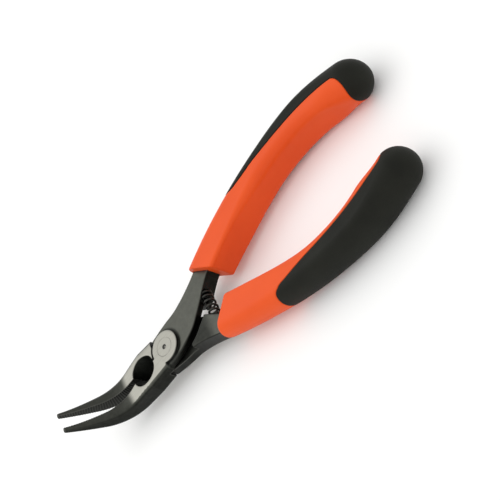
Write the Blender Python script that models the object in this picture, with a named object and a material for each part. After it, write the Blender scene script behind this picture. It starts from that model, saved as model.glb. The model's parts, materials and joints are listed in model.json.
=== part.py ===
"""Bent needle nose pliers with a lap joint, a return spring and two-component grips.

Frame: X runs along the tool with the jaws at -X and the handles at +X, Y is the direction in which
the handles open, and +Z is the side to which the nose bends. The origin lies on the pivot axis, in
the ground rear face of the joint. Every piece is drawn with the jaws closed and then turned about
the pivot by the opening angle at which the return spring holds the tool. The front half carries
the -Y jaw and the +Y handle, the rear half the other two.
"""

import math

import bmesh
import bpy
from mathutils import Matrix, Vector

MM = 0.001

# Driving dimensions of the head and the joint
HEAD_THICKNESS = 7.4 * MM
BOSS_RADIUS = 5.8 * MM
HEAD_FLANK = BOSS_RADIUS + 1.3 * MM
HEAD_FACE = BOSS_RADIUS - 0.1 * MM
FACE_CHAMFER_DEPTH = 1.2 * MM
OPEN_ANGLE = math.radians(3.5)
JAW_FACE_GAP = 0.1 * MM
JAW_SHOULDER = BOSS_RADIUS - 0.6 * MM
JAW_ROOT = 2.4 * MM

# Driving dimensions of the bent nose, measured along its middle line
BEND_START = BOSS_RADIUS + 13.7 * MM
BEND_RADIUS = 18.0 * MM
BEND_ANGLE = math.radians(45.0)
TIP_STRAIGHT = 14.5 * MM
TIP_WIDTH = 1.5 * MM
TIP_THICKNESS = 1.8 * MM
NOSE_BELLY = 1.2 * MM
NOSE_RELIEF = 1.2 * MM
TAPER_START = BOSS_RADIUS + 6.2 * MM

# Cutter hollow ground into the front of the jaws, with its cutting edges near their rear face
HOLLOW_LENGTH = 10.4 * MM
HOLLOW_CENTRE = BOSS_RADIUS + HOLLOW_LENGTH / 2 + 1.1 * MM
HOLLOW_WIDTH = 9.0 * MM
CUTTER_LAND = 1.0 * MM

# Arms and the tangs inside the grips
ARM_THICKNESS = 6.15 * MM
ARM_REAR_STEP = 0.15 * MM
TANG_WIDTH = 4.2 * MM
TANG_SHIFT = 1.3 * MM
TANG_LINE = -0.8 * MM
TANG_COVER = 15.0 * MM

# Pivot rivet
RIVET_RADIUS = 2.4 * MM
RIVET_HEAD_RADIUS = 3.3 * MM
RIVET_HEAD_DEPTH = 0.9 * MM
DIMPLE_RADIUS = 0.5 * MM
DIMPLE_DEPTH = 0.4 * MM

# Handle middle line: start, heading, curvature and how fast the curvature grows
HANDLE_START = Vector((22.0 * MM, 6.6 * MM))
HANDLE_HEADING = math.radians(22.1)
HANDLE_CURVATURE = 2.6
HANDLE_CURVATURE_GROWTH = 130.0
HANDLE_STEP = 1.0 * MM

# Grips
GRIP_FRONT = 6.0 * MM
GRIP_BULB = 89.0 * MM
GRIP_FRONT_SKEW = math.tan(math.radians(20.0))
GRIP_SKEW_LENGTH = 16.0 * MM
GRIP_WIDTH_FRONT = 12.0 * MM
GRIP_WIDTH_WAIST = 10.0 * MM
GRIP_WIDTH_BULB = 15.8 * MM
GRIP_THICKNESS_FRONT = HEAD_THICKNESS + 3.8 * MM
GRIP_THICKNESS_BULB = 16.4 * MM
GRIP_INNER_EDGE = 1.2 * MM
GRIP_OUTER_EDGE = 3.4 * MM
GRIP_FRONT_EDGE = 0.8 * MM
TONGUE_FRONT = 29.0 * MM
BULB_RING = GRIP_BULB - 1.5 * MM
SOFT_WALL = 2.0 * MM

# Return spring between the arms
SPRING_X = 21.8 * MM
SPRING_RADIUS = 2.0 * MM
SPRING_WIRE = 0.8 * MM
SPRING_TURNS = 5
SPRING_SEAT = 4.6 * MM
SEAT_MARGIN = 0.5 * MM
PEG_RADIUS = 1.1 * MM
PEG_LENGTH = 1.6 * MM

# Clearances
LAP_GAP = 0.3 * MM
SHOULDER_GAP = 0.5 * MM
ARM_GAP = 2.6 * MM
RIVET_GAP = 0.3 * MM
TANG_GAP = 0.3 * MM
SOFT_GAP = 0.3 * MM
SPRING_GAP = 0.45 * MM

# Facets
ROUND_SEGMENTS = 32
COIL_SEGMENTS = 14

MIDDLE = HEAD_THICKNESS / 2
FRONT = 1
REAR = -1


def clear_scene():
    """Remove every object that the start-up file brought."""
    for item in list(bpy.data.objects):
        bpy.data.objects.remove(item, do_unlink=True)


def material(name, colour, roughness, metallic):
    """Return a Principled material with one colour."""
    made = bpy.data.materials.new(name)
    made.use_nodes = True
    shader = made.node_tree.nodes["Principled BSDF"]
    shader.inputs["Base Color"].default_value = (*colour, 1.0)
    shader.inputs["Roughness"].default_value = roughness
    shader.inputs["Metallic"].default_value = metallic
    return made


def add_object(name, bm, finish=None):
    """Turn a bmesh into an object with outward faces and round sides shaded smooth."""
    bmesh.ops.recalc_face_normals(bm, faces=bm.faces)
    mesh = bpy.data.meshes.new(name)
    bm.to_mesh(mesh)
    bm.free()
    mesh.shade_smooth()
    mesh.set_sharp_from_angle(angle=math.radians(35.0))
    item = bpy.data.objects.new(name, mesh)
    bpy.context.collection.objects.link(item)
    if finish:
        mesh.materials.append(finish)
    return item


def helper(name, bm):
    """Make an object that only shapes another one."""
    item = add_object(name, bm)
    item.hide_render = True
    item.display_type = "WIRE"
    return item


def boolean(target, tool, operation):
    """Join, cut or keep the common part of a target with a helper."""
    step = target.modifiers.new(operation.lower(), "BOOLEAN")
    step.solver = "EXACT"
    step.operation = operation
    step.object = tool


def turn_open(item, side):
    """Turn a piece drawn with closed jaws to the opening of its half."""
    item.matrix_world = Matrix.Rotation(side * OPEN_ANGLE, 4, "Z")


def loft(rings):
    """Skin a list of equal closed rings and cap both ends."""
    bm = bmesh.new()
    loops = [[bm.verts.new(point) for point in ring] for ring in rings]
    count = len(loops[0])
    for low, high in zip(loops, loops[1:]):
        for i in range(count):
            j = (i + 1) % count
            bm.faces.new((low[i], low[j], high[j], high[i]))
    bm.faces.new(loops[0][::-1])
    bm.faces.new(loops[-1])
    return bm


def prism(outline, low, high):
    """Extrude a plan outline between two heights."""
    return loft([[Vector((x, y, z)) for x, y in outline] for z in (low, high)])


def disc(radius, low, high, centre=(0.0, 0.0), squash=1.0):
    """Return a round or oval plan prism."""
    return prism(oval(radius, radius * squash, centre), low, high)


def oval(half_x, half_y, centre=(0.0, 0.0)):
    """Return the points of an oval outline."""
    turns = [2 * math.pi * (i + 0.5) / ROUND_SEGMENTS for i in range(ROUND_SEGMENTS)]
    return [(centre[0] + half_x * math.cos(a), centre[1] + half_y * math.sin(a)) for a in turns]


def spline(points, steps=3):
    """Run a smooth curve through a few plan points."""
    ends = [points[0], *points, points[-1]]
    curve = []
    for p0, p1, p2, p3 in zip(ends, ends[1:], ends[2:], ends[3:]):
        a, b, c, d = (Vector(p) for p in (p0, p1, p2, p3))
        for i in range(steps):
            t = i / steps
            point = 2 * b + (c - a) * t + (2 * a - 5 * b + 4 * c - d) * t * t
            curve.append(0.5 * (point + (3 * b - a - 3 * c + d) * t ** 3))
    return curve + [Vector(points[-1])]


def blend(value, table):
    """Read a smooth value between the (place, value) pairs of a table."""
    for (a, low), (b, high) in zip(table, table[1:]):
        if value <= b:
            t = max(0.0, (value - a) / (b - a))
            return low + (high - low) * t * t * (3 - 2 * t)
    return table[-1][1]


def handle_point(distance):
    """Return the place and heading of the handle's middle line at a distance from its start."""
    count = max(1, math.ceil(abs(distance) / HANDLE_STEP))
    step = distance / count
    place = HANDLE_START.copy()
    for i in range(count):
        heading = handle_heading(step * (i + 0.5))
        place += step * Vector((math.cos(heading), math.sin(heading)))
    return place, handle_heading(distance)


def handle_heading(distance):
    """Return the heading where the curvature grows evenly along the handle."""
    turned = HANDLE_CURVATURE * distance + 0.5 * HANDLE_CURVATURE_GROWTH * distance ** 2
    return HANDLE_HEADING - turned


def handle_offset(distance, outward, along=0.0):
    """Return a plan point beside the handle's middle line."""
    place, heading = handle_point(distance)
    tangent = Vector((math.cos(heading), math.sin(heading)))
    normal = Vector((-math.sin(heading), math.cos(heading)))
    return place + outward * normal + along * tangent


def layer_point(point, side):
    """Place a plan and height point of the front half, or turn it over for the rear half."""
    x, y, z = point
    return Vector((x, y, z)) if side == FRONT else Vector((x, -y, HEAD_THICKNESS - z))


def turned_over(bm, side):
    """Turn a whole shape of the front half over for the rear half."""
    for vertex in bm.verts:
        vertex.co = layer_point(vertex.co, side)
    return bm


def nose_frame(distance):
    """Return the middle point of the nose and its direction of thickness in the XZ plane."""
    bent = min(max(distance - BEND_START, 0.0), BEND_RADIUS * BEND_ANGLE)
    angle = bent / BEND_RADIUS
    rest = max(distance - BEND_START - BEND_RADIUS * BEND_ANGLE, 0.0)
    x = -min(distance, BEND_START) - BEND_RADIUS * math.sin(angle) - rest * math.cos(angle)
    z = MIDDLE + BEND_RADIUS * (1 - math.cos(angle)) + rest * math.sin(angle)
    return Vector((x, 0.0, z)), Vector((math.sin(angle), 0.0, math.cos(angle)))


def jaw_ring(distance, side):
    """Return one section of a jaw: flat inside, chamfered outside, deeper below the bend."""
    length = BEND_START + BEND_RADIUS * BEND_ANGLE + TIP_STRAIGHT
    taper = max(0.0, (distance - TAPER_START) / (length - TAPER_START))
    flank = HEAD_FLANK + (TIP_WIDTH - HEAD_FLANK) * taper
    face = HEAD_FACE + (TIP_WIDTH * 0.55 - HEAD_FACE) * taper
    half = MIDDLE + (TIP_THICKNESS / 2 - MIDDLE) * taper
    low = -half - NOSE_BELLY * 4 * taper * (1 - taper)
    high = half - NOSE_RELIEF * 27 / 4 * taper ** 2 * (1 - taper)
    chamfer = min(FACE_CHAMFER_DEPTH, (high - low) * 0.35)
    centre, up = nose_frame(distance)
    section = [(JAW_FACE_GAP, low), (face, low), ((face + flank) / 2, low + chamfer * 0.35),
               (flank, low + chamfer), (flank, high - chamfer),
               ((face + flank) / 2, high - chamfer * 0.35), (face, high), (JAW_FACE_GAP, high)]
    return [centre + up * t + Vector((0.0, -side * w, 0.0)) for w, t in section]


def jaw(side):
    """Loft a jaw from the pivot to its tip."""
    bend_end = BEND_START + BEND_RADIUS * BEND_ANGLE
    bend = [BEND_START + (bend_end - BEND_START) * i / 6 for i in range(7)]
    tip = [bend_end + TIP_STRAIGHT * i / 3 for i in range(1, 4)]
    return loft([jaw_ring(place, side) for place in (JAW_ROOT, TAPER_START, *bend, *tip)])


def inner_flank():
    """Return the edge of an arm that faces the other arm, from the jaw to the grip."""
    near = ((-5.0, 0.4), (0.0, 0.8), (4.2, 0.2), (8.0, -0.8))
    ahead = ((12.8, -3.2), (17.0, -0.2), (20.5, 2.3), (24.0, 4.9))
    joint = [Vector((x * MM, -BOSS_RADIUS - out * MM)) for x, out in near]
    return joint + [Vector(p) * MM for p in ahead]


def outer_flank():
    """Return the edge of an arm that faces away from the other arm."""
    near = ((-3.9, -0.8), (-3.9, 0.7), (0.0, 1.3), (4.0, 1.8), (8.5, 2.0))
    ahead = ((13.5, 8.9), (18.0, 10.5), (22.0, 12.0))
    joint = [Vector((x * MM, BOSS_RADIUS + out * MM)) for x, out in near]
    return joint + [Vector(p) * MM for p in ahead]


def beside(path, distance):
    """Shift a plan path sideways, to the left of the way it runs."""
    ends = [path[0], *path, path[-1]]
    ways = [(after - before).normalized() for before, after in zip(ends, ends[2:])]
    return [p + distance * Vector((-way.y, way.x)) for p, way in zip(path, ways)]


def arm_outline(clearance=0.0):
    """Return the plan outline of an arm and its tang, or of the socket around them."""
    half = TANG_WIDTH / 2
    length = GRIP_BULB - TANG_COVER + clearance - GRIP_FRONT
    places = [GRIP_FRONT + length * i / 8 for i in range(1, 9)]
    line = ((GRIP_FRONT, TANG_SHIFT), (TONGUE_FRONT, TANG_LINE))
    stations = [(s, blend(s, line)) for s in places]
    tang_outer = [handle_offset(s, shift + half) for s, shift in stations]
    tang_inner = [handle_offset(s, shift - half) for s, shift in stations]
    outer = spline(outer_flank() + tang_outer)
    inner = spline(inner_flank() + tang_inner)
    return beside(outer, clearance) + beside(inner, -clearance)[::-1]


def arm_span(side):
    """Return the heights of an arm's two faces, in the frame of a half before it is turned over."""
    low, high = ARM_REAR_STEP, ARM_REAR_STEP + ARM_THICKNESS
    return (low, high) if side == FRONT else (HEAD_THICKNESS - high, HEAD_THICKNESS - low)


def lap_outline():
    """Return the plan outline of the pocket in which the other half lies and swings."""
    far = 30.0 * MM
    reach = 10.0 * MM
    edge = [Vector((p.x, ARM_GAP - p.y)) for p in inner_flank() if p.x > reach]
    top = Vector((reach, edge[0].y + (edge[0].x - reach) * 0.3))
    return [Vector((-JAW_SHOULDER, -far)), Vector((edge[-1].x, -far)), *edge[::-1], top,
            Vector((reach, far)), Vector((-JAW_SHOULDER, far))]


def hollow():
    """Return the cutter hollow: an oval in the front of the jaws that narrows to a cutting edge."""
    over = 0.5 * MM
    grow = 1 + over / (HEAD_THICKNESS - CUTTER_LAND)
    rim = oval(HOLLOW_LENGTH / 2 * grow, HOLLOW_WIDTH / 2 * grow, (-HOLLOW_CENTRE, 0.0))
    edge = oval(HOLLOW_LENGTH * 0.4, 0.0, (-HOLLOW_CENTRE, 0.0))
    top = [Vector((x, y, HEAD_THICKNESS + over)) for x, y in rim]
    bottom = [Vector((x, y, CUTTER_LAND)) for x, y in edge]
    bm = loft([bottom, top])
    bmesh.ops.remove_doubles(bm, verts=bm.verts, dist=0.001 * MM)
    flat = [face for face in bm.faces if face.calc_area() < 0.001 * MM * MM]
    bmesh.ops.delete(bm, geom=flat, context="FACES_ONLY")
    return bm


def rivet_profile(clearance=0.0):
    """Return the radius and height pairs of the rivet, from its rear to its front face."""
    top = HEAD_THICKNESS + clearance
    head = RIVET_HEAD_RADIUS + clearance
    neck = RIVET_RADIUS + clearance
    return [(head, -clearance), (head, 0.1 * MM), (neck, RIVET_HEAD_DEPTH),
            (neck, HEAD_THICKNESS - RIVET_HEAD_DEPTH), (head, HEAD_THICKNESS - 0.1 * MM), (head, top)]


def turned(profile):
    """Turn radius and height pairs about the pivot axis."""
    return loft([[Vector((x, y, z)) for x, y in oval(r, r)] for r, z in profile])


def spring_seat(side):
    """Return the cutter of the flat in an arm on which the spring stands."""
    radius = SPRING_RADIUS + SPRING_WIRE / 2 + SEAT_MARGIN
    bm = bmesh.new()
    depth = 12.0 * MM
    place = Matrix.Translation((SPRING_X, SPRING_SEAT - depth / 2, MIDDLE))
    bmesh.ops.create_cone(bm, cap_ends=True, segments=20, radius1=radius, radius2=radius,
                          depth=depth, matrix=place @ Matrix.Rotation(math.pi / 2, 4, "X"))
    return turned_over(bm, side)


def spring_peg(side):
    """Return the peg that holds one end of the spring in place."""
    root = 1.0 * MM
    bm = bmesh.new()
    place = Matrix.Translation((SPRING_X, SPRING_SEAT - (PEG_LENGTH - root) / 2, MIDDLE))
    bmesh.ops.create_cone(bm, cap_ends=True, segments=12, radius1=PEG_RADIUS, radius2=PEG_RADIUS,
                          depth=PEG_LENGTH + root, matrix=place @ Matrix.Rotation(math.pi / 2, 4, "X"))
    return turned_over(bm, side)


def forging(name, side, finish):
    """Build one forged half: jaw, joint boss, arm and tang in one piece."""
    lap_face = MIDDLE + LAP_GAP / 2
    body = add_object(name, turned_over(prism(arm_outline(), *arm_span(side)), side), finish)
    jaw_piece = helper(name + "_jaw", jaw(side))
    boolean(body, jaw_piece, "UNION")
    lap = prism(lap_outline(), -MM, lap_face)
    boolean(body, helper(name + "_lap", turned_over(lap, side)), "DIFFERENCE")
    swing = disc(BOSS_RADIUS + SHOULDER_GAP, -MM, lap_face)
    boolean(body, helper(name + "_swing", turned_over(swing, side)), "DIFFERENCE")
    boss = disc(BOSS_RADIUS, lap_face, HEAD_THICKNESS)
    boolean(body, helper(name + "_boss", turned_over(boss, side)), "UNION")
    boolean(body, helper(name + "_hollow", hollow()), "DIFFERENCE")
    boolean(body, helper(name + "_bore", turned(rivet_profile(RIVET_GAP))), "DIFFERENCE")
    boolean(body, helper(name + "_seat", spring_seat(side)), "DIFFERENCE")
    boolean(body, helper(name + "_peg", spring_peg(side)), "UNION")
    turn_open(body, side)
    for step in body.modifiers:
        if step.object.name != name + "_bore":
            turn_open(step.object, side)
    return body


def rivet(finish):
    """Build the flush rivet, with its centre mark in the front face only."""
    bm = turned(rivet_profile())
    body = add_object("pivot_rivet", bm, finish)
    mark = bmesh.new()
    bmesh.ops.create_cone(mark, cap_ends=True, segments=12, radius1=DIMPLE_RADIUS / 4,
                          radius2=DIMPLE_RADIUS * 1.6, depth=2 * DIMPLE_DEPTH,
                          matrix=Matrix.Translation((0.0, 0.0, HEAD_THICKNESS)))
    boolean(body, helper("pivot_rivet_mark", mark), "DIFFERENCE")
    return body


def coil_spring(finish):
    """Wind the compression spring along Y, between the seats of the open arms."""
    seat = Matrix.Rotation(OPEN_ANGLE, 2) @ Vector((SPRING_X, SPRING_SEAT))
    half = seat.y - SPRING_GAP - SPRING_WIRE / 2
    count = SPRING_TURNS * COIL_SEGMENTS
    wire = bpy.data.curves.new("return_spring", "CURVE")
    wire.dimensions = "3D"
    wire.bevel_depth = SPRING_WIRE / 2
    wire.bevel_resolution = 1
    wire.use_fill_caps = True
    run = wire.splines.new("POLY")
    run.points.add(count)
    for i in range(count + 1):
        angle = 2 * math.pi * i / COIL_SEGMENTS
        along = half * (2 * i / count - 1)
        offset = (SPRING_RADIUS * math.cos(angle), SPRING_RADIUS * math.sin(angle))
        run.points[i].co = (seat.x + offset[0], along, MIDDLE + offset[1], 1.0)
    wire.materials.append(finish)
    item = bpy.data.objects.new("return_spring", wire)
    bpy.context.collection.objects.link(item)
    return item


def grip_size(distance):
    """Return the half width and half thickness of a grip."""
    width = blend(distance, ((GRIP_FRONT, GRIP_WIDTH_FRONT), (0.6 * GRIP_BULB, GRIP_WIDTH_WAIST),
                             (GRIP_BULB, GRIP_WIDTH_BULB)))
    share = (distance - GRIP_FRONT) / (GRIP_BULB - GRIP_FRONT)
    thick = GRIP_THICKNESS_FRONT + (GRIP_THICKNESS_BULB - GRIP_THICKNESS_FRONT) * min(share, 1.0)
    return width / 2, thick / 2


def quarter(centre, reach, start, steps):
    """Return the points of a quarter oval in a grip section."""
    turns = [math.radians(start + 90.0 * i / steps) for i in range(steps + 1)]
    return [(centre[0] + reach[0] * math.cos(a), centre[1] + reach[1] * math.sin(a)) for a in turns]


def grip_ring(distance, side, inner_cut=0.0, outer_cut=0.0, flat_cut=0.0, shrink=1.0, ahead=0.0):
    """Return a grip section: flat faces, a crisp inner edge and a round outer side."""
    half_w, half_t = grip_size(distance)
    roundness = blend(distance, ((GRIP_BULB - 22 * MM, 0.0), (GRIP_BULB, 1.0)))
    inner_w = GRIP_INNER_EDGE + (half_w - GRIP_INNER_EDGE) * roundness
    inner_t = GRIP_INNER_EDGE + (half_t - GRIP_INNER_EDGE) * roundness
    outer_w = GRIP_OUTER_EDGE + (half_w - GRIP_OUTER_EDGE) * roundness
    section = (quarter((half_w - outer_w, 0.0), (outer_w, half_t), 0.0, 4)
               + quarter((inner_w - half_w, half_t - inner_t), (inner_w, inner_t), 90.0, 2)
               + quarter((inner_w - half_w, inner_t - half_t), (inner_w, inner_t), 180.0, 2)
               + quarter((half_w - outer_w, 0.0), (outer_w, half_t), 270.0, 4)[:-1])
    skew = GRIP_FRONT_SKEW * blend(distance, ((GRIP_FRONT, 1.0), (GRIP_FRONT + GRIP_SKEW_LENGTH, 0.0)))
    ring = []
    for w, t in section:
        cut_w = outer_cut if w > 0 else inner_cut
        w = w * shrink * (half_w - cut_w) / half_w
        t = t * shrink * (half_t - flat_cut) / half_t
        plan = handle_offset(distance, w, ahead - skew * w)
        ring.append(Vector((plan.x, side * plan.y, MIDDLE + t)))
    return ring


def grip_body(side, cut=0.0):
    """Loft the outer shape of a grip, or the core that a soft wall of this thickness covers."""
    rings = []
    if cut:
        inside = ((0.25 * GRIP_BULB, cut - 3 * MM), (BULB_RING - 5 * MM, cut - 3 * MM), (BULB_RING, cut))
        stations = [TONGUE_FRONT * 0.6 + (GRIP_BULB - TONGUE_FRONT * 0.6) * i / 16 for i in range(17)]
        rings = [grip_ring(s, side, blend(s, inside), cut, cut * 0.8) for s in stations]
    else:
        edge = 1 - GRIP_FRONT_EDGE / grip_size(GRIP_FRONT)[1]
        rings.append(grip_ring(GRIP_FRONT, side, shrink=edge))
        stations = [GRIP_FRONT + (GRIP_BULB - GRIP_FRONT) * i / 16 for i in range(17)]
        rings += [grip_ring(s, side, ahead=GRIP_FRONT_EDGE * (i == 0)) for i, s in enumerate(stations)]
    reach = grip_size(GRIP_BULB)[0] - cut
    for i in range(1, 5):
        angle = math.radians(20.0 * i)
        rings.append(grip_ring(GRIP_BULB, side, cut, cut, cut * 0.8, math.cos(angle),
                               reach * math.sin(angle)))
    return loft(rings)


def soft_region(side, margin):
    """Return the plan prism that the soft grip fills: a tongue outside, everything at the bulb."""
    side_half = grip_size(TONGUE_FRONT)[0]
    edge = [(TONGUE_FRONT - margin, side_half + MM), (TONGUE_FRONT - margin, side_half),
            (TONGUE_FRONT + 0.8 * MM, side_half - 0.8 * MM), (TONGUE_FRONT + 3 * MM, side_half - 2 * MM),
            (TONGUE_FRONT + 8 * MM, 2.0 * MM), (TONGUE_FRONT + 18 * MM, 0.1 * MM),
            (TONGUE_FRONT + 32 * MM, -1.3 * MM), (0.85 * GRIP_BULB, -1.7 * MM),
            (BULB_RING - 3 * MM, -1.9 * MM), (BULB_RING - margin, -3.0 * MM),
            (BULB_RING - margin, -20.0 * MM)]
    near = [handle_offset(s, w - margin * (0 < i < len(edge) - 1)) for i, (s, w) in enumerate(edge)]
    far = [handle_offset(GRIP_BULB + 20 * MM, -20 * MM), handle_offset(GRIP_BULB + 20 * MM, 20 * MM),
           handle_offset(GRIP_BULB * 0.7, 20 * MM), handle_offset(TONGUE_FRONT, 20 * MM)]
    outline = [(p.x, side * p.y) for p in near + far]
    reach = GRIP_THICKNESS_BULB
    return prism(outline, MIDDLE - reach, MIDDLE + reach)


def grip_core(name, side, finish):
    """Build the hard core of a grip, open at the front for the tang."""
    body = add_object(name, grip_body(side), finish)
    recess = helper(name + "_recess", soft_region(side, SOFT_GAP))
    boolean(recess, helper(name + "_floor", grip_body(side, SOFT_WALL + SOFT_GAP)), "DIFFERENCE")
    boolean(body, recess, "DIFFERENCE")
    low, high = arm_span(side)
    socket = prism(arm_outline(TANG_GAP), low - TANG_GAP, high + TANG_GAP)
    boolean(body, helper(name + "_socket", turned_over(socket, side)), "DIFFERENCE")
    place_with_helpers(body, side)
    return body


def soft_grip(name, side, finish):
    """Build the soft overmould that lies in the recess of a core."""
    body = add_object(name, grip_body(side), finish)
    boolean(body, helper(name + "_region", soft_region(side, 0.0)), "INTERSECT")
    boolean(body, helper(name + "_hollow", grip_body(side, SOFT_WALL)), "DIFFERENCE")
    place_with_helpers(body, side)
    return body


def place_with_helpers(body, side):
    """Turn a piece and everything that shapes it to the opening of its half."""
    turn_open(body, side)
    for step in body.modifiers:
        if step.object:
            place_with_helpers(step.object, side)


def main():
    """Build every piece of the pliers."""
    clear_scene()
    steel = material("black_steel", (0.05, 0.052, 0.045), 0.45, 0.9)
    bright = material("ground_steel", (0.55, 0.54, 0.5), 0.35, 1.0)
    wire = material("spring_steel", (0.35, 0.35, 0.34), 0.3, 1.0)
    orange = material("orange_plastic", (0.83, 0.13, 0.03), 0.45, 0.0)
    soft = material("black_soft_plastic", (0.025, 0.027, 0.022), 0.7, 0.0)
    for half, side in (("front", FRONT), ("rear", REAR)):
        forging(f"{half}_forging", side, steel)
        grip_core(f"{half}_grip_core", side, orange)
        soft_grip(f"{half}_soft_grip", side, soft)
    rivet(bright)
    coil_spring(wire)


main()
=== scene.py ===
"""Bent nose pliers: two forged halves on a flush rivet, a return spring and two-component grips.

Lengths are in millimetres until a mesh is made. A half is shaped closed and straight, as a field
that is negative inside the piece, then bent at the nose and swung open about the rivet.
"""

import json
import math
from functools import partial

import bpy
import numpy as np
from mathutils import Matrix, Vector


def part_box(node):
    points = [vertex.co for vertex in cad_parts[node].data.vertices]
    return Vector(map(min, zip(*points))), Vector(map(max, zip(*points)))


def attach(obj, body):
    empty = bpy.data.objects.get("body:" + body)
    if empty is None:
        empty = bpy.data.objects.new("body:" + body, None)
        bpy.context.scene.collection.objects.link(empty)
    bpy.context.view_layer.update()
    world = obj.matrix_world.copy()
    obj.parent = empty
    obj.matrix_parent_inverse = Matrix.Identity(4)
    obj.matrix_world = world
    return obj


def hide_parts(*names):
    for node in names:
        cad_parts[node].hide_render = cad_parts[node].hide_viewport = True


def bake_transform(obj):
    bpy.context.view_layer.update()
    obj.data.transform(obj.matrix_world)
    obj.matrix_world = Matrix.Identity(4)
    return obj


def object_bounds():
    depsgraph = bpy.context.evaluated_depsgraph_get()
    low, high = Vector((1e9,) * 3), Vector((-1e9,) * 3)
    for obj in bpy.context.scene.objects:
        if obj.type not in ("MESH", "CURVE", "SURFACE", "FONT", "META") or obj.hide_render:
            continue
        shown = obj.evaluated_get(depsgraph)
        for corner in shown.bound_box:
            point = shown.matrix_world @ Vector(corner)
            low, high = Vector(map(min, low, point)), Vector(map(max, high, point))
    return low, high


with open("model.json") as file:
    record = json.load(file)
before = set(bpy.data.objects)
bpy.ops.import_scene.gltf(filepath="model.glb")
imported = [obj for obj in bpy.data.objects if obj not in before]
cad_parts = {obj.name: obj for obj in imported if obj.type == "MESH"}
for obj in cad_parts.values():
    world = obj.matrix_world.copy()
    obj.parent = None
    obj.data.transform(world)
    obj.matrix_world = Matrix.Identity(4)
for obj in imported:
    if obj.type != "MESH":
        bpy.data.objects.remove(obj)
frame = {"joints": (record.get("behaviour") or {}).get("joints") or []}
cad_low, cad_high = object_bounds()

# ---------------------------------------------------------------- forged halves
# Two drop forgings from the same die, lapped at the joint, with the nose of each bent up by 45
# degrees. Chrome vanadium steel, blackened all over, then the flat faces of the head are ground
# bright. The cutter hollow is sunk from the front only and fine teeth cross the gripping faces.
MM = 0.001
opening = math.radians(frame["joints"][0]["range_deg"][1]) / 2
head_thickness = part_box("pivot_rivet")[1].z / MM
middle = head_thickness / 2
boss_radius, lap_face, swing_gap, arm_gap = 5.8, middle + 0.15, 0.5, 2.6
arm_half, arm_centre, arm_start, arm_end, lap_reach = 3.08, 3.23, -4.0, 36.0, 10.0
flank_root, flank_tip, half_tip = 7.1, 1.5, 0.9
taper_start, belly, relief, face_gap, jaw_root = 12.0, 4.8, 8.1, 0.1, 2.4
hollow_place, cutter_edge, bore_radius = 11.9, 0.9, 3.285
hollow_long, hollow_spread, hollow_wide, hollow_uneven = 4.2, 1.1, 4.4, 0.2
bend_start, bend_radius, bend_angle, tip_straight = 19.5, 18.0, math.radians(45.0), 15.0
nose_length = bend_start + bend_radius * bend_angle + tip_straight
tooth_pitch, tooth_depth = 0.9, 0.13
inner_flank = ((-6.0, -6.0), (-3.0, -6.5), (0.0, -6.6), (4.2, -6.0), (8.0, -5.0), (12.8, -3.2),
               (17.0, -0.3), (20.5, 2.4), (24.0, 5.3), (28.0, 8.0), (32.0, 9.6), (37.0, 11.3))
outer_flank = ((-5.0, 6.9), (0.0, 7.6), (4.0, 8.0), (8.5, 8.2), (13.5, 9.3), (18.0, 10.8),
               (21.0, 12.0), (23.5, 13.1), (27.0, 13.4), (31.0, 13.4), (37.0, 14.6))
spring_place, pocket_radius, pocket_floor = 21.8, 2.3, 4.7


def larger(a, b, rounding):
    """Maximum of two fields, with a parabola in place of the crease where they cross."""
    share = np.clip(0.5 + 0.5 * (a - b) / rounding, 0, 1)
    return b + (a - b) * share + rounding * share * (1 - share)


def smaller(a, b, rounding):
    """Minimum of two fields, with a fillet where they cross."""
    return -larger(-a, -b, rounding)


def ease(value, start, end):
    """Rise from 0 at start to 1 at end, level at both: three t squared less two t cubed."""
    t = np.clip((value - start) / (end - start), 0, 1)
    return t * t * (3 - 2 * t)


def through(x, points):
    """Smooth curve through points: cubic Hermite pieces, with slopes from the neighbours."""
    px, py = np.array(points, float).T
    slope = np.gradient(py, px)
    i = np.clip(np.searchsorted(px, x) - 1, 0, len(px) - 2)
    step = px[i + 1] - px[i]
    t = np.clip((x - px[i]) / step, 0, 1)
    rise = (py[i + 1] - py[i]) / step
    bow = slope[i] + t * (3 * rise - 2 * slope[i] - slope[i + 1]
                          + t * (slope[i] + slope[i + 1] - 2 * rise))
    return py[i] + t * step * bow


def arm_plan(x, y):
    """Distance outside the arm's two flanks and its hidden end, seen from above."""
    low, high = through(x, inner_flank), through(x, outer_flank)
    sides = np.maximum(0.75 * (low - y), 0.9 * (y - high))
    return larger(larger(sides, arm_start - x, 0.3), x - arm_end, 0.5)


def along_jaw(x):
    """Share of the way from the start of the taper, at the hollow, to the tip."""
    return np.clip((-x - taper_start) / (nose_length - taper_start), 0, 1)


def taper(x):
    """Width of a jaw and its depth below and above the middle line, from the hollow to the tip.

    All three shrink evenly, but the under side bulges at the bend and the upper one is thinned.
    """
    along = along_jaw(x)
    even, swell = middle - (middle - half_tip) * along, along * (1 - along)
    flank = flank_root - (flank_root - flank_tip) * along
    return flank, even + belly * swell, even - relief * along * swell


def jaw_field(x, y, z, side):
    """Rounded box that tapers towards the tip, with its inner side toothed beyond the bend."""
    along = along_jaw(x)
    flank, below, above = taper(x)
    if side < 0:
        below, above = above, below
    half, centre = (below + above) / 2, middle + (above - below) / 2
    wide, deep = 2.5 - 1.6 * along, 1.6 - 0.9 * along
    out_y, out_z = (-y - flank) / wide + 1, (np.abs(z - centre) - half) / deep + 1
    shell = np.where(np.minimum(out_y, out_z) > 0, np.hypot(out_y, out_z), np.maximum(out_y, out_z))
    shell = (shell - 1) * deep
    wave = np.abs((x / tooth_pitch) % 1.0 - 0.5) * 2
    tooth = tooth_depth * wave * ease(-x, bend_start - 1.5, bend_start)
    inner = y + face_gap + tooth
    shell = larger(shell, inner, 0.22)
    return larger(larger(shell, -x - nose_length, 0.6), x + jaw_root, 0.8)


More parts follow.
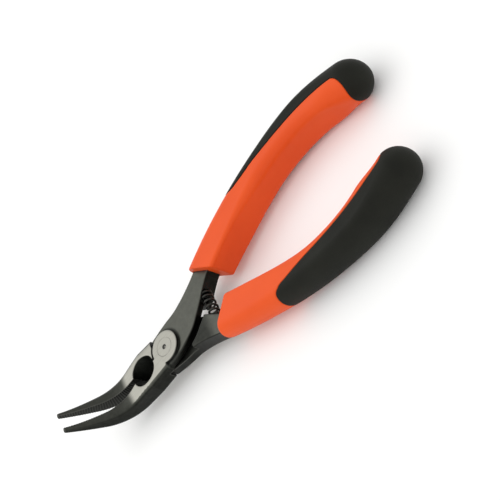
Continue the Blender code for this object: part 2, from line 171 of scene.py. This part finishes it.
def half_field(x, y, z, side):
    """Arm, jaw and boss joined, less the lap, the hollow, the bore and the spring's pocket.

    The rear half is this shape turned over, so what lies at one true height in both halves is
    set by side: the arm, the hollow and the thinned upper side of the nose. The hollow is also
    a little wider in the front half.
    """
    radius = np.hypot(x, y)
    true_z = z if side > 0 else head_thickness - z
    arm = larger(arm_plan(x, y), np.abs(true_z - arm_centre) - arm_half, 0.6)
    body = smaller(arm, jaw_field(x, y, z, side), 0.5)
    edge = arm_gap - through(x, inner_flank)
    under = z - lap_face
    clear_of_arm = np.minimum(x - lap_reach, 0.8 * (y - edge))
    lap = np.maximum(np.maximum(under, -boss_radius + 0.6 - x), clear_of_arm)
    body = larger(body, -lap, 0.12)
    body = larger(body, -np.maximum(radius - boss_radius - swing_gap, under), 0.12)
    boss = larger(larger(radius - boss_radius, z - head_thickness, 0.4), -under, 0.1)
    body = smaller(body, boss, 0.12)
    depth = np.clip((true_z - cutter_edge) / (head_thickness - cutter_edge), 0.02, 2)
    long, wide = hollow_long + hollow_spread * depth, hollow_wide + hollow_uneven * side
    oval = np.hypot((x + hollow_place) / long, y / (wide * depth ** 0.8)) - 1
    body = larger(body, -oval * 3.4 * np.sqrt(depth), 0.15)
    body = larger(body, bore_radius - radius, 0.02)
    pocket = np.maximum(np.hypot(x - spring_place, z - middle) - pocket_radius, y - pocket_floor)
    return larger(body, -pocket, 0.15)


def slope_of(field, at, reach):
    """Slope of a field by central differences, and the sum of its values around each point."""
    slope, total = np.empty_like(at), 0
    for axis in range(3):
        ahead, behind = at.copy(), at.copy()
        ahead[:, axis] += reach
        behind[:, axis] -= reach
        high, low = field(*ahead.T), field(*behind.T)
        slope[:, axis] = (high - low) / (2 * reach)
        total = total + high + low
    return slope, total


def skin(field, xs, ys, zs):
    """Surface where a field is zero, as points and quads.

    Every grid cell that the surface crosses gets one point, which slides down the field's slope
    from the cell's centre to the surface, at most a third of a cell beyond its cell. Every grid
    line that it crosses gives one quad between the four cells round that line, facing out.
    """
    value = field(xs[:, None, None], ys[None, :, None], zs[None, None, :])
    inside = np.broadcast_to(value, (len(xs), len(ys), len(zs))) < 0
    corners = sum(inside[i:len(xs) - 1 + i, j:len(ys) - 1 + j, k:len(zs) - 1 + k].astype(np.int8)
                  for i in (0, 1) for j in (0, 1) for k in (0, 1))
    crossed = (corners > 0) & (corners < 8)
    number = np.full(crossed.shape, -1)
    number[crossed] = np.arange(crossed.sum())
    cell = np.argwhere(crossed)
    lines = (xs, ys, zs)
    low = np.stack([lines[a][cell[:, a]] for a in range(3)], 1)
    high = np.stack([lines[a][cell[:, a] + 1] for a in range(3)], 1)
    at, slack = (low + high) / 2, (high - low) / 3
    for _ in range(5):
        slope, _ = slope_of(field, at, 0.01)
        gain = field(*at.T) / np.maximum((slope ** 2).sum(1), 0.05)
        at = np.clip(at - gain[:, None] * slope, low - slack, high + slack)
    quads = []
    for axis in range(3):
        one, two = (axis + 1) % 3, (axis + 2) % 3
        start, end = [slice(None)] * 3, [slice(None)] * 3
        start[axis], end[axis] = slice(0, -1), slice(1, None)
        leaving, entering = inside[tuple(start)], inside[tuple(end)]
        edge = np.argwhere(leaving != entering)
        edge = edge[(edge[:, one] > 0) & (edge[:, two] > 0)]
        steps = np.zeros((4, 3), int)
        steps[1, one] = steps[2, one] = steps[2, two] = steps[3, two] = -1
        quad = number[tuple((edge[:, None, :] + steps[None]).transpose(2, 0, 1))]
        outward = leaving[tuple(edge.T)]
        quads.append(np.where(outward[:, None], quad, quad[:, ::-1]))
    return at, np.concatenate(quads)


def bent(points):
    """Bend the nose: beyond the bend's start the middle line runs round a circle, then straight."""
    x, y, z = points.T
    past = np.clip(-x - bend_start, 0, bend_radius * bend_angle)
    rest = np.maximum(-x - bend_start - bend_radius * bend_angle, 0)
    turn = past / bend_radius
    line_x = np.maximum(x, -bend_start) - bend_radius * np.sin(turn) - rest * np.cos(turn)
    line_z = middle + bend_radius * (1 - np.cos(turn)) + rest * np.sin(turn)
    height = z - middle
    return np.stack([line_x + height * np.sin(turn), y, line_z + height * np.cos(turn)], 1)


def swung(points, side):
    """Turn closed points about the rivet to the opening of their half: 1 front, -1 rear."""
    c, s = math.cos(opening), side * math.sin(opening)
    x, y, z = points.T
    return np.stack([c * x - s * y, s * x + c * y, z], 1)


def piece(name, points, faces, finish, **marks):
    """Make an object at the origin from points in millimetres, with a value per point for marks."""
    mesh = bpy.data.meshes.new(name)
    mesh.from_pydata((points * MM).tolist(), [], faces.tolist())
    mesh.update()
    mesh.shade_smooth()
    mesh.materials.append(finish)
    for mark, values in marks.items():
        layer = mesh.attributes.new(mark, "FLOAT", "POINT")
        layer.data.foreach_set("value", np.asarray(values, np.float32))
    made = bpy.data.objects.new(name, mesh)
    bpy.context.collection.objects.link(made)
    return made


def new_finish(name, **sockets):
    """Principled material with its fixed values on the shader's own sockets."""
    made = bpy.data.materials.new(name)
    made.use_nodes = True
    shader = made.node_tree.nodes["Principled BSDF"]
    for socket, value in sockets.items():
        shader.inputs[socket.replace("_", " ")].default_value = value
    return made, made.node_tree.nodes, made.node_tree.links, shader


def texture(nodes, links, scale, detail, stretch=(1, 1, 1)):
    """Noise in object space, with a different grain size along each axis."""
    place = nodes.new("ShaderNodeTexCoord")
    turn = nodes.new("ShaderNodeMapping")
    turn.inputs["Scale"].default_value = stretch
    links.new(place.outputs["Object"], turn.inputs["Vector"])
    noise = nodes.new("ShaderNodeTexNoise")
    noise.inputs["Scale"].default_value = scale
    noise.inputs["Detail"].default_value = detail
    links.new(turn.outputs["Vector"], noise.inputs["Vector"])
    return noise


def ramp(nodes, links, source, stops):
    """Colour or grey ramp read by a value."""
    made = nodes.new("ShaderNodeValToRGB")
    line = made.color_ramp
    while len(line.elements) < len(stops):
        line.elements.new(0.5)
    for element, (place, colour) in zip(line.elements, stops):
        element.position = place
        element.color = (*colour, 1)
    links.new(source, made.inputs["Fac"])
    return made.outputs["Color"]


def mixed(nodes, links, amount, first, second):
    """Mix of two colours or sockets by an amount socket."""
    made = nodes.new("ShaderNodeMix")
    made.data_type = "RGBA"
    links.new(amount, made.inputs["Factor"])
    for value, socket in ((first, made.inputs["A"]), (second, made.inputs["B"])):
        if isinstance(value, tuple):
            socket.default_value = (*value, 1)
        else:
            links.new(value, socket)
    return made.outputs["Result"]


def bump(nodes, links, shader, height, strength, distance):
    """Bump from a height socket into a shader."""
    made = nodes.new("ShaderNodeBump")
    made.inputs["Strength"].default_value = strength
    made.inputs["Distance"].default_value = distance
    links.new(height, made.inputs["Height"])
    links.new(made.outputs["Normal"], shader.inputs["Normal"])


steel, nodes, links, shader = new_finish("blackened_forging", Metallic=0.95, Roughness=0.38)
scale_grain = texture(nodes, links, 700, 3.0)
brushing = texture(nodes, links, 500, 4.0, (0.35, 5.0, 1.0))
# Near-black scale for the side walls and a lighter grey for the faces that lie flat: partly the
# scale's own colour, partly painted shade on the side walls.
walls = ramp(nodes, links, scale_grain.outputs["Fac"],
             [(0.3, (0.010, 0.011, 0.009)), (0.7, (0.018, 0.019, 0.016))])
flats = ramp(nodes, links, scale_grain.outputs["Fac"],
             [(0.3, (0.072, 0.074, 0.063)), (0.7, (0.086, 0.088, 0.075))])
ground_stops = [(0.3, (0.29, 0.285, 0.25)), (0.7, (0.34, 0.333, 0.295))]
bright = ramp(nodes, links, brushing.outputs["Fac"], ground_stops)
colour = walls
for mark, finish in (("flat", flats), ("worn", (0.22, 0.22, 0.20)), ("ground", bright)):
    share = nodes.new("ShaderNodeAttribute")
    share.attribute_name = mark
    colour = mixed(nodes, links, share.outputs["Fac"], colour, finish)
links.new(colour, shader.inputs["Base Color"])
links.new(ramp(nodes, links, brushing.outputs["Fac"],
               [(0.3, (0.35, 0.35, 0.35)), (0.7, (0.41, 0.41, 0.41))]), shader.inputs["Roughness"])
bump(nodes, links, shader, scale_grain.outputs["Fac"], 0.12, 0.00004)

jaw_lines = np.arange(-nose_length - 0.3, -bend_start, 0.13)
head_lines = np.arange(-bend_start, 36.6, 0.22)
edge_reach = 0.22
for half, side in (("front", 1), ("rear", -1)):
    shape = partial(half_field, side=side)
    blank, quads = skin(shape, np.concatenate([jaw_lines, head_lines]),
                        np.arange(-7.7, 15.2, 0.21), np.arange(-0.31, 7.8, 0.2))
    slope, around = slope_of(shape, blank, edge_reach)
    steep = np.maximum(np.linalg.norm(slope, axis=1), 0.2)
    curving = (around - 6 * shape(*blank.T)) / edge_reach ** 2 / steep
    worn_edge = 0.25 * np.clip(curving / 3.0 - 0.2, 0, 1) * ease(-blank[:, 0], -30, 10)
    # Faces that lie flat get the lighter scale and side walls stay near black, which is partly
    # painted shade on the walls.
    face_up = np.abs(slope[:, 2]) / steep
    from_axis = np.hypot(blank[:, 0], blank[:, 1])
    _, below, above = taper(blank[:, 0])
    height = side * (blank[:, 2] - middle)
    below_face = np.where(height > 0, above - height, below + height)
    bright_face = (np.maximum(ease(face_up, 0.45, 0.9), from_axis < 3.7) * (below_face < 0.2)
                   * ease(blank[:, 0], -23.5, -20))
    flip = np.array([1, side, side]) * blank + np.array([0, 0, head_thickness * (side < 0)])
    # Painted shade: the lighter scale on the flat faces is taken away in a ring just outside the
    # boss, where the boss's step casts its shade. The lighter scale also fades towards the nose.
    share_outside_painted_shade = ease(from_axis, boss_radius + 0.3, boss_radius + 1.4)
    share_outside_painted_shade = share_outside_painted_shade * (1 - 0.6 * ease(-blank[:, 0], 17, 25))
    if side < 0:  # painted shadow of the front arm, darkening the rear arm's flat face
        share_outside_painted_shade = share_outside_painted_shade * (1 - 0.85 * ease(blank[:, 0], -1, 3) * ease(-blank[:, 0], -22, -17))
    made = piece(f"{half}_forged_half", swung(bent(flip), side), quads, steel,
                 ground=bright_face, worn=worn_edge,
                 flat=ease(face_up, 0.6, 0.97) * share_outside_painted_shade)
    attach(made, f"{half}_half")
    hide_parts(f"{half}_forging")

# ---------------------------------------------------------------- rivet
# A steel rivet through both halves, peened over and ground flush with the head on both sides,
# with the small centre mark of the punch left in its front end. It stays with the front half.
rivet_radius, mark_radius, mark_depth = 3.275, 0.85, 0.5


def turned(radii, heights, count):
    """Solid of revolution about the pivot: every profile point carried round a circle."""
    turn = np.arange(count) * 2 * math.pi / count
    rings = np.stack([np.outer(radii, np.cos(turn)), np.outer(radii, np.sin(turn)),
                      np.repeat(heights[:, None], count, 1)], -1)
    points = rings.reshape(-1, 3)
    ring, seat = np.meshgrid(np.arange(len(radii) - 1), np.arange(count), indexing="ij")
    here, there = ring * count + seat, ring * count + (seat + 1) % count
    return points, np.stack([here, there, there + count, here + count], -1).reshape(-1, 4)


shank = np.array([[0.001, 0.0], [3.2, 0.0], [3.25, 0.0], [rivet_radius, 0.03],
                  [rivet_radius, head_thickness - 0.03], [3.25, head_thickness],
                  [3.2, head_thickness], [1.05, head_thickness], [0.98, head_thickness],
                  [0.91, head_thickness - 0.02]])
dish = np.linspace(0, 1, 10)
dimple = np.stack([mark_radius * np.cos(dish * math.pi / 2) + 0.001,
                   head_thickness - mark_depth * np.sin(dish * math.pi / 2)], 1)
profile = np.concatenate([shank, dimple])
points, quads = turned(profile[:, 0], profile[:, 1], 72)
rivet_steel, nodes, links, shader = new_finish("rivet_steel", Metallic=0.95, Roughness=0.38)
brushing = texture(nodes, links, 500, 4.0, (0.35, 5.0, 1.0))
share = nodes.new("ShaderNodeAttribute")
share.attribute_name = "mark"
bright = ramp(nodes, links, brushing.outputs["Fac"], ground_stops)
links.new(mixed(nodes, links, share.outputs["Fac"], bright, (0.06, 0.06, 0.055)),
          shader.inputs["Base Color"])
bump(nodes, links, shader, brushing.outputs["Fac"], 0.1, 0.00002)
from_axis = np.hypot(points[:, 0], points[:, 1])
in_mark = ease(from_axis, 0.1, 0.4) * (from_axis < mark_radius + 0.02) * (points[:, 2] > middle)
made = piece("pivot_rivet_visual", points, quads, rivet_steel, mark=in_mark)
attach(made, "front_half")
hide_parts("pivot_rivet")

# ---------------------------------------------------------------- return spring
# A small compression spring of hardened wire with closed ends, held in blind pockets in the
# two arms. It pushes the arms apart and shortens as the handles close.
wire, coil_radius, coils = 0.4, 1.75, 5.0
spring_low, spring_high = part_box("return_spring")
spring_reach = spring_high.y / MM + 0.25
spring_x = (spring_low.x + spring_high.x) / 2 / MM


def tube(path, radius, count):
    """Round section carried along a path, in planes square to it, with a point at both ends."""
    along = np.gradient(path, axis=0)
    along /= np.linalg.norm(along, axis=1)[:, None]
    axis = np.array([0.0, 1.0, 0.0])
    out = np.cross(along, axis)
    out /= np.linalg.norm(out, axis=1)[:, None]
    up = np.cross(out, along)
    turn = np.arange(count) * 2 * math.pi / count
    grown = np.full(len(path), radius)
    grown[0] = grown[-1] = 0.001
    rings = (path[:, None] + grown[:, None, None] * (np.cos(turn)[None, :, None] * out[:, None]
                                                     + np.sin(turn)[None, :, None] * up[:, None]))
    ring, seat = np.meshgrid(np.arange(len(path) - 1), np.arange(count), indexing="ij")
    here, there = ring * count + seat, ring * count + (seat + 1) % count
    quads = np.stack([here, here + count, there + count, there], -1)
    return rings.reshape(-1, 3), quads.reshape(-1, 4)


steps = np.linspace(0, 1, 361)
rise = 0.25 * steps + 0.375 * (ease(steps, 0.08, 0.92) + np.clip((steps - 0.12) / 0.76, 0, 1))
turn = steps * (coils + 2) * 2 * math.pi
path = np.stack([spring_x + coil_radius * np.cos(turn), spring_reach * (2 * rise - 1),
                 middle + coil_radius * np.sin(turn)], 1)
path = np.concatenate([path[:1], path, path[-1:]])
path[0] -= (path[2] - path[1]) * 0.2
path[-1] += (path[-2] - path[-3]) * 0.2
spring_steel, nodes, links, shader = new_finish("spring_wire", Metallic=0.95, Roughness=0.34)
draw_marks = texture(nodes, links, 1500, 3.0)
links.new(ramp(nodes, links, draw_marks.outputs["Fac"],
               [(0.3, (0.025, 0.025, 0.022)), (0.7, (0.05, 0.049, 0.044))]),
          shader.inputs["Base Color"])
points, quads = tube(path, wire, 12)
made = piece("return_spring_visual", points, quads, spring_steel)
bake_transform(made)
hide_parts("return_spring")

# ---------------------------------------------------------------- handle line
# Both grips follow the same line: it leaves the arm at 22 degrees and curves ever more tightly
# towards the closing plane. Grips are shaped straight, then carried along this line.
line_start, line_heading = (22.0, 6.6), math.radians(22.1)
curve_start, curve_growth, bulb_centre = 0.0026, 0.00013, 89.0
stations = np.linspace(-6, bulb_centre, 1901)
heading = line_heading - curve_start * stations - 0.5 * curve_growth * stations ** 2
step = stations[1] - stations[0]
line_x = np.concatenate([[0], np.cumsum(np.cos((heading[1:] + heading[:-1]) / 2)) * step])
line_y = np.concatenate([[0], np.cumsum(np.sin((heading[1:] + heading[:-1]) / 2)) * step])
line_x += line_start[0] - np.interp(0, stations, line_x)
line_y += line_start[1] - np.interp(0, stations, line_y)


def on_handle(s, w):
    """Plan place of a point at distance s along the handle's line and w outside it."""
    bound = np.clip(s, stations[0], bulb_centre)
    angle = np.interp(bound, stations, heading)
    past = s - bound
    x = np.interp(bound, stations, line_x) - w * np.sin(angle) + past * np.cos(angle)
    y = np.interp(bound, stations, line_y) + w * np.cos(angle) + past * np.sin(angle)
    return x, y


# ---------------------------------------------------------------- grip cores
# Hard orange plastic, moulded on the tang: flat faces, a crisp inner edge and a round outer
# side. A shallow recess round the outer side and the end takes the soft part.
grip_front, front_lean = 6.0, math.tan(math.radians(25.0))
half_width = ((-8.0, 5.9), (6.0, 5.9), (30.0, 5.5), (53.0, 5.35), (70.0, 6.0), (82.0, 7.1),
              (89.0, 7.8), (110.0, 7.9))
half_thick = ((-8.0, 5.2), (6.0, 5.6), (50.0, 7.0), (89.0, 8.2), (110.0, 8.2))
bulge = ((-8.0, 0.8), (8.0, 0.8), (28.0, 0.8), (50.0, 0.8), (65.0, 0.6), (82.0, -0.2),
         (89.0, -0.7), (110.0, -0.7))
soft_edge = ((29.3, 7.6), (30.4, 5.2), (33.0, 3.0), (37.5, 1.6), (46.0, 0.1), (60.0, -1.3),
             (74.0, -1.7), (84.0, -1.7), (110.0, -1.7))
soft_wall, seam, soft_end, lift, socket_gap, soft_proud = 1.6, 0.06, 90.8, 0.65, 0.12, 0.08


def grip_field(s, w, t):
    """Grip section at each place along the line: an oval outside and rounded corners inside."""
    wide, thick = through(s, half_width), through(s, half_thick)
    w = np.where(w > 0, w * wide / (wide + through(s, bulge)), w)
    t = t - lift * (1 - ease(s, 12.0, 52.0))
    edge = 1.2 + 2.6 * ease(s, 18.0, 50.0)
    inner_round, outer_round = ease(s, 76.0, 90.0), ease(s, 66.0, 89.0)
    corner_w, corner_t = edge + (wide - edge) * inner_round, edge + (thick - edge) * inner_round
    oval_w = 3.6 + (wide - 3.6) * outer_round
    outside = np.hypot(np.maximum(w - wide + oval_w, 0) / oval_w, t / thick)
    into_w = np.maximum(-w - (wide - corner_w), 0) / corner_w
    into_t = np.maximum(np.abs(t) - (thick - corner_t), 0) / corner_t
    inside = np.where((into_w <= 0) & (into_t <= 0), np.maximum(-w / wide, np.abs(t) / thick),
                      1 + (np.hypot(into_w, into_t) - 1) * corner_t / thick)
    end = np.maximum(s - bulb_centre, 0) / wide
    return (np.hypot(np.where(w > wide - oval_w, outside, inside), end) - 1) * thick


def soft_field(s, w, t, side):
    """Negative where the soft part lies: outside the seam line, and all round at the end.

    The two mouldings are alike and turned over, so the seam lies further in on the face that is
    upward in the rear one.
    """
    edge = through(s, soft_edge) + side * np.tanh(t / 2) * ease(s, 32.0, 48.0)
    tilt = np.hypot(1, through(s + 0.5, soft_edge) - through(s - 0.5, soft_edge))
    end = soft_end - 0.12 * (np.clip(w, -9, -1) + 5) ** 2
    return smaller((edge - w) / tilt, end - s, 1.5)


def core_field(s, w, t, side):
    """Whole grip, cut back where the soft part lies, with a lean front and the arm's socket."""
    grip = grip_field(s, w, t)
    floor = grip + soft_wall
    core = np.minimum(larger(grip, -(soft_field(s, w, t, side) - seam), 0.25), floor)
    core = larger(core, grip_front - front_lean * w - s, 0.7)
    x, y = on_handle(s, w)
    beside, over = arm_plan(x, y), np.abs(t + middle - arm_centre) - arm_half
    socket = np.maximum(beside - socket_gap, over - socket_gap)
    return larger(core, -socket, 0.25)


def overmould_field(s, w, t, side):
    """Skin of the grip inside the seam line, with a small rounded lip."""
    grip = grip_field(s, w, t) - soft_proud
    skin_only = larger(grip, -(grip + soft_wall), 0.2)
    return larger(skin_only, soft_field(s, w, t, side), 0.45)


orange, nodes, links, shader = new_finish("orange_moulding", Roughness=0.5, IOR=1.3)
cloud = texture(nodes, links, 60, 3.0)
grain = texture(nodes, links, 2600, 3.0)
links.new(ramp(nodes, links, cloud.outputs["Fac"],
               [(0.3, (0.69, 0.072, 0.007)), (0.7, (0.74, 0.084, 0.010))]),
          shader.inputs["Base Color"])
links.new(ramp(nodes, links, cloud.outputs["Fac"],
               [(0.3, (0.42, 0.42, 0.42)), (0.7, (0.50, 0.50, 0.50))]), shader.inputs["Roughness"])
bump(nodes, links, shader, grain.outputs["Fac"], 0.12, 0.00005)

core_grid = (np.arange(2.0, 98.0, 0.34), np.arange(-9.1, 8.9, 0.3), np.arange(-8.75, 8.8, 0.3))
for half, side in (("front", 1), ("rear", -1)):
    straight, quads = skin(partial(core_field, side=side), *core_grid)
    x, y = on_handle(straight[:, 0], straight[:, 1])
    placed = np.stack([x, side * y, middle + straight[:, 2]], 1)
    quads = quads if side > 0 else quads[:, ::-1]
    made = piece(f"{half}_orange_grip", swung(placed, side), quads, orange)
    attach(made, f"{half}_half")
    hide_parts(f"{half}_grip_core")

# ---------------------------------------------------------------- soft grips
# Matte black thermoplastic rubber, moulded into the recess of each core: a tongue along the
# outer side and the whole rounded end, with a fine spark-eroded grain.
rubber, nodes, links, shader = new_finish("black_overmould", Roughness=0.6, IOR=1.27)
cloud = texture(nodes, links, 90, 4.0)
grain = texture(nodes, links, 3200, 4.0)
links.new(ramp(nodes, links, cloud.outputs["Fac"],
               [(0.3, (0.005, 0.0055, 0.003)), (0.7, (0.009, 0.0095, 0.006))]),
          shader.inputs["Base Color"])
links.new(ramp(nodes, links, grain.outputs["Fac"],
               [(0.3, (0.56, 0.56, 0.56)), (0.7, (0.70, 0.70, 0.70))]), shader.inputs["Roughness"])
bump(nodes, links, shader, grain.outputs["Fac"], 0.3, 0.00006)

for half, side in (("front", 1), ("rear", -1)):
    straight, quads = skin(partial(overmould_field, side=side),
                           np.arange(27.0, 98.0, 0.34), *core_grid[1:])
    x, y = on_handle(straight[:, 0], straight[:, 1])
    placed = np.stack([x, side * y, middle + straight[:, 2]], 1)
    quads = quads if side > 0 else quads[:, ::-1]
    made = piece(f"{half}_black_grip", swung(placed, side), quads, rubber)
    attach(made, f"{half}_half")
    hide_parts(f"{half}_soft_grip")

# ---------------------------------------------------------------- floor, light and camera
# The pliers lie on a pale table with the nose bent up, in even light with one large soft lamp
# beyond the nose, and are seen from above with a long lens.
table, _, _, shader = new_finish("pale_table", Roughness=0.9, IOR=1.3)
shader.inputs["Base Color"].default_value = (0.93, 0.93, 0.92, 1)
level = (cad_low.z - 0.0002) / MM
span = 4000.0
made = piece("table_top", np.array([[-span, -span, level], [span, -span, level], [span, span, level],
                                    [-span, span, level]]), np.array([[0, 1, 2, 3]]), table)

world = bpy.data.worlds.new("studio")
world.use_nodes = True
world.node_tree.nodes["Background"].inputs["Color"].default_value = (1, 1, 1, 1)
world.node_tree.nodes["Background"].inputs["Strength"].default_value = 1.06
bpy.context.scene.world = world
centre = (cad_low + cad_high) / 2


def lamp(name, towards, distance, size, power):
    """Square soft lamp at a distance from the pliers, facing them."""
    light = bpy.data.lights.new(name, "AREA")
    light.size = size
    light.energy = power
    made = bpy.data.objects.new(name, light)
    bpy.context.collection.objects.link(made)
    way = Vector(towards).normalized()
    made.location = centre + way * distance
    made.rotation_mode = "QUATERNION"
    made.rotation_quaternion = way.to_track_quat("Z", "Y")


lamp("key_lamp", (-0.9, 0.4, 1.0), 1.0, 1.0, 2.5)

lens = bpy.data.cameras.new("camera")
lens.lens = 324.4
lens.clip_start, lens.clip_end = 0.05, 20
camera = bpy.data.objects.new("camera", lens)
bpy.context.collection.objects.link(camera)
right, up = (0.61588, -0.34781, -0.70691), (0.68287, 0.68316, 0.25881)
back, eye = (0.39292, -0.64212, 0.65825), (0.6289, -0.9511, 0.9828)
camera.matrix_world = Matrix([*zip(right, up, back, eye), (0, 0, 0, 1)])
bpy.context.scene.camera = camera
bpy.context.scene.view_settings.view_transform = "Standard"
